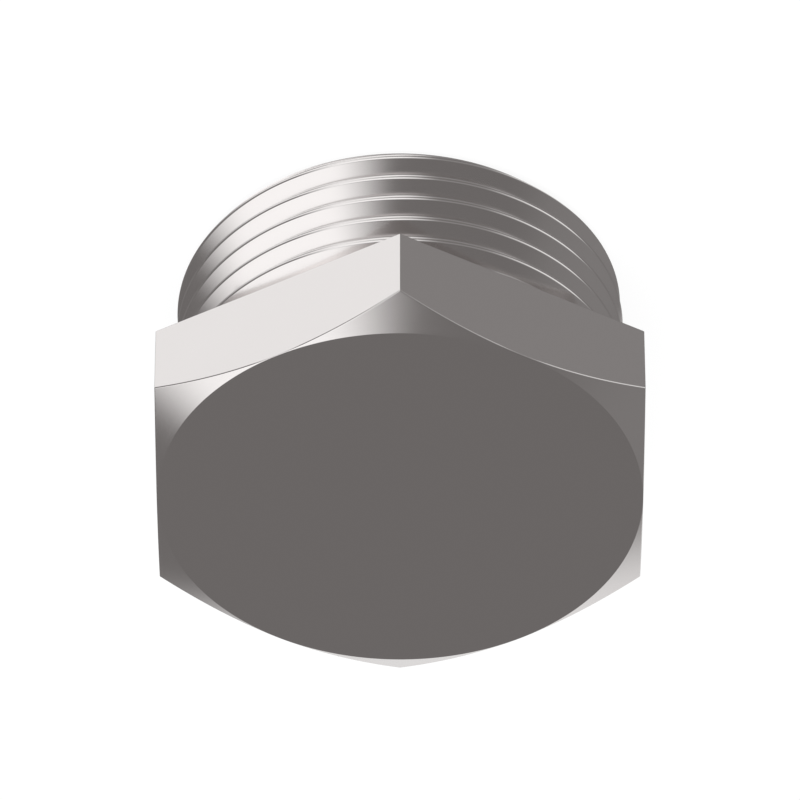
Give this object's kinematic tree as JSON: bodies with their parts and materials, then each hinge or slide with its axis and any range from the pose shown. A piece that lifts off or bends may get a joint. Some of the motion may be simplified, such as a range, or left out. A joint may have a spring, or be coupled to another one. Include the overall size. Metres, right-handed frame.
{
  "type": "blanking plug",
  "caption": "Metal blanking plug with a chamfered hexagon head on a short threaded shank, for closing an unused threaded entry.",
  "frame": {"origin": "middle of the thread's end face, on the plug's axis, at the bottom of the part", "axes": "+Z along the axis from the thread's end to the head's top face; +Y and -Y through two opposite corners of the hexagon; +X and -X through the middle of two opposite flats"},
  "size_m": [0.024, 0.0278, 0.0136],
  "materials": {
    "body": "stainless steel, finely turned and polished, with crisp edges"
  },
  "bodies": {
    "root": {"plug": "body"}
  },
  "joints": []
}
